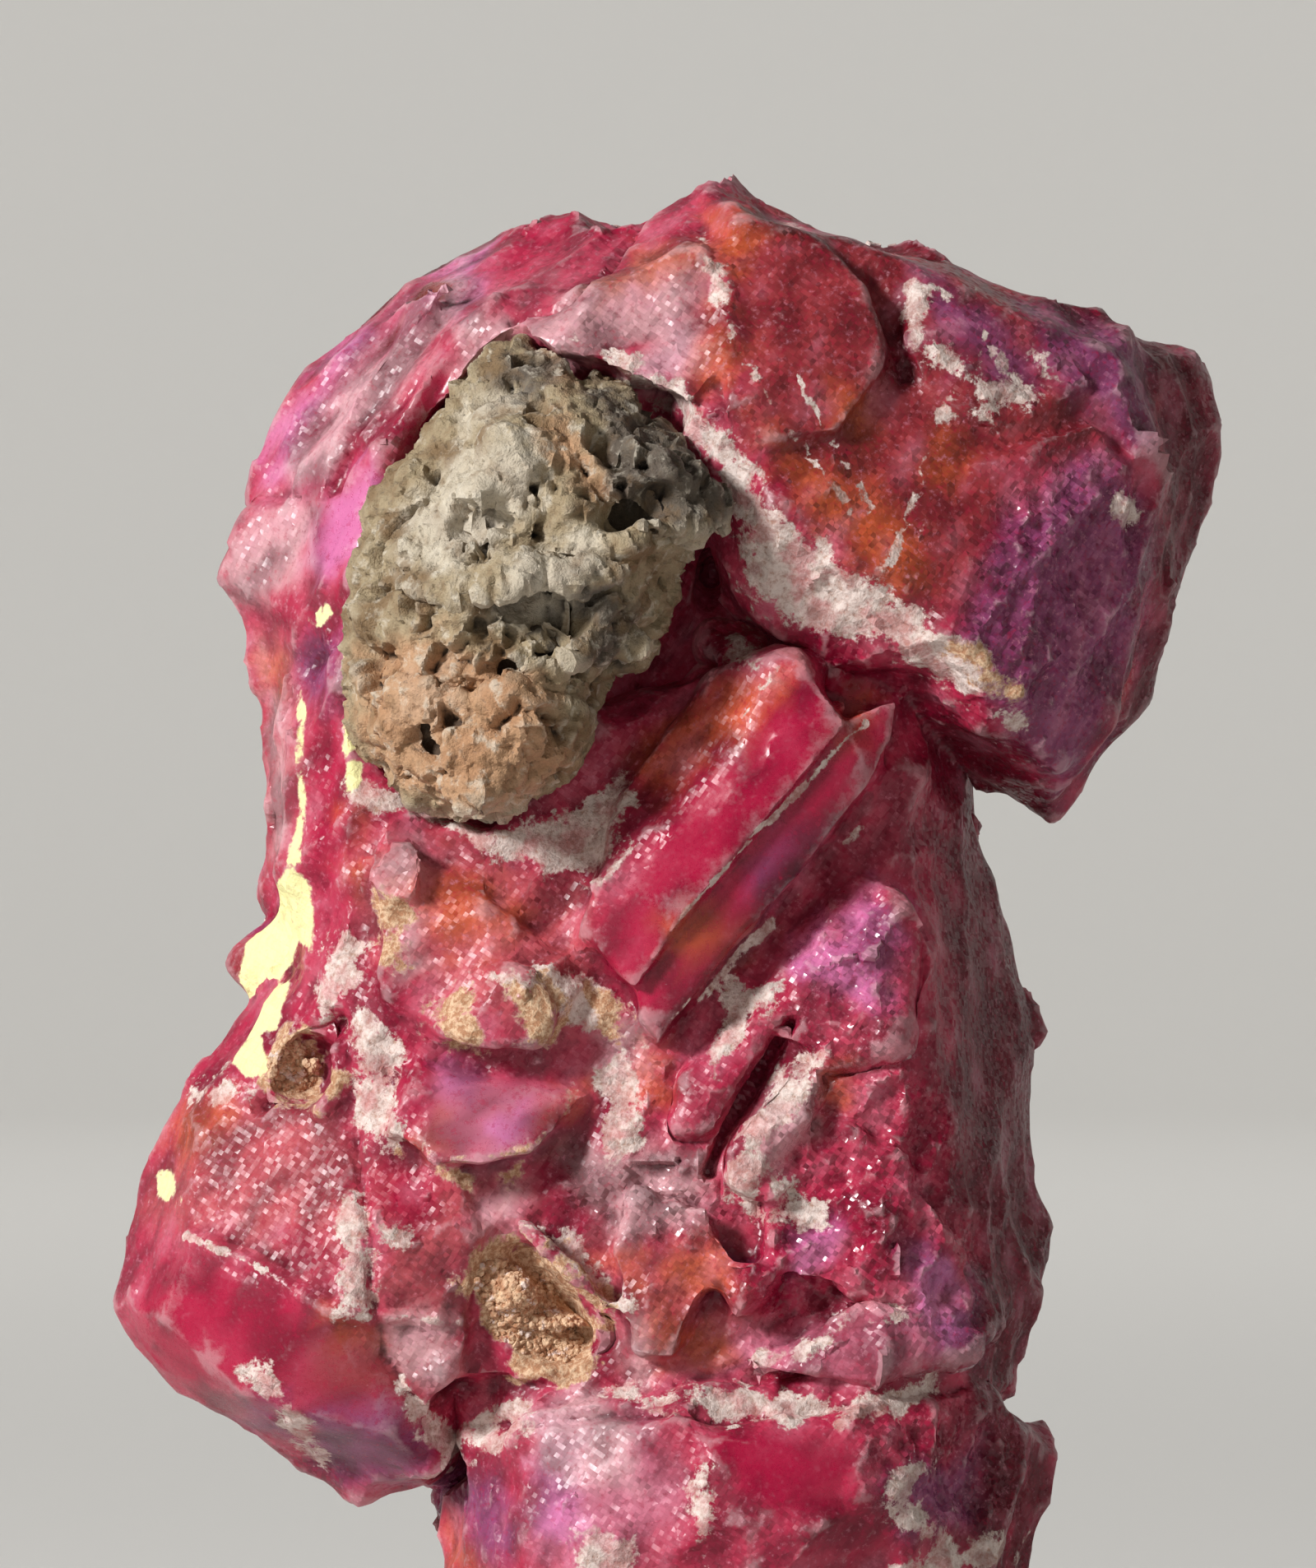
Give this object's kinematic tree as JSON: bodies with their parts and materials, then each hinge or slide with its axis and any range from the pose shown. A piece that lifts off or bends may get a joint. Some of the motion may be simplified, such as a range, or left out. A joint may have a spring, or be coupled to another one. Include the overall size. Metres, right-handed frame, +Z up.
{
  "type": "ruby crystal",
  "caption": "Rough ruby crystal group standing on a flat broken base, with flat and splintered faces and a lump of pitted host rock held in a hollow of its front.",
  "frame": {"origin": "on the flat broken face that the specimen stands on, below the middle of the pictured width", "axes": "+Z up as it stands, +X to the right as seen from the front, front towards -Y"},
  "size_m": [0.0266, 0.0197, 0.0358],
  "materials": {
    "ruby": "translucent pink to crimson crystal, glassy on fresh faces and frosted on weathered ones",
    "rock": "dull, grainy, tan and grey host rock with ochre stains"
  },
  "bodies": {
    "root": {"ruby_crystals": "ruby", "host_rock": "rock"}
  },
  "joints": []
}
